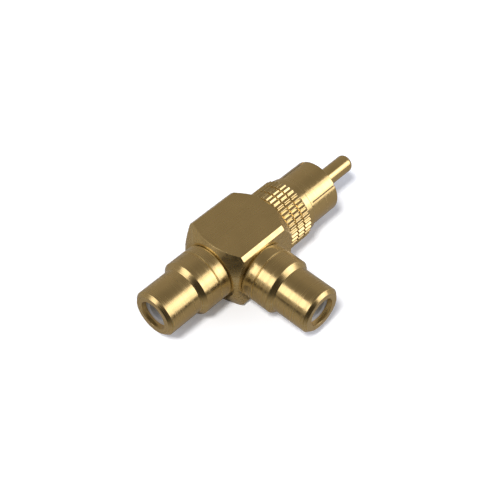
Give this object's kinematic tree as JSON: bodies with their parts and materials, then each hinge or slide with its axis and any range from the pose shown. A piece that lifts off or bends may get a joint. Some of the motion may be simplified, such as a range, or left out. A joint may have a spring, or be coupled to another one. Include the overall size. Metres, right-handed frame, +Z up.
{
  "type": "phono splitter adaptor",
  "caption": "T-shaped coaxial audio adaptor: a plug with slotted barrel and knurled collar on a square metal block, feeding a socket in line and a socket at its side.",
  "frame": {"origin": "on the block's resting face, straight below the point where the axes of the ports cross", "axes": "+X along the plug towards its tip, the in-line socket points along -X, the side socket along -Y, +Z up"},
  "size_m": [0.0478, 0.0248, 0.012],
  "materials": {
    "gold_block": "gold plate over fine-ground flats",
    "gold_shell": "gold plate over fine turning lines",
    "gold_collar": "gold plate over a straight knurl",
    "gold_barrel": "bright gold plate",
    "gold_pin": "bright gold plate",
    "gold_contact": "gold plate",
    "white_plastic": "white moulded plastic"
  },
  "bodies": {
    "root": {"body_block": "gold_block", "inline_socket_shell": "gold_shell", "inline_socket_insulator": "white_plastic", "inline_socket_contact": "gold_contact", "side_socket_shell": "gold_shell", "side_socket_insulator": "white_plastic", "side_socket_contact": "gold_contact", "centre_hub": "gold_contact", "hub_sleeve": "white_plastic", "plug_collar": "gold_collar", "plug_barrel": "gold_barrel", "plug_insulator": "white_plastic", "plug_pin": "gold_pin"}
  },
  "joints": []
}
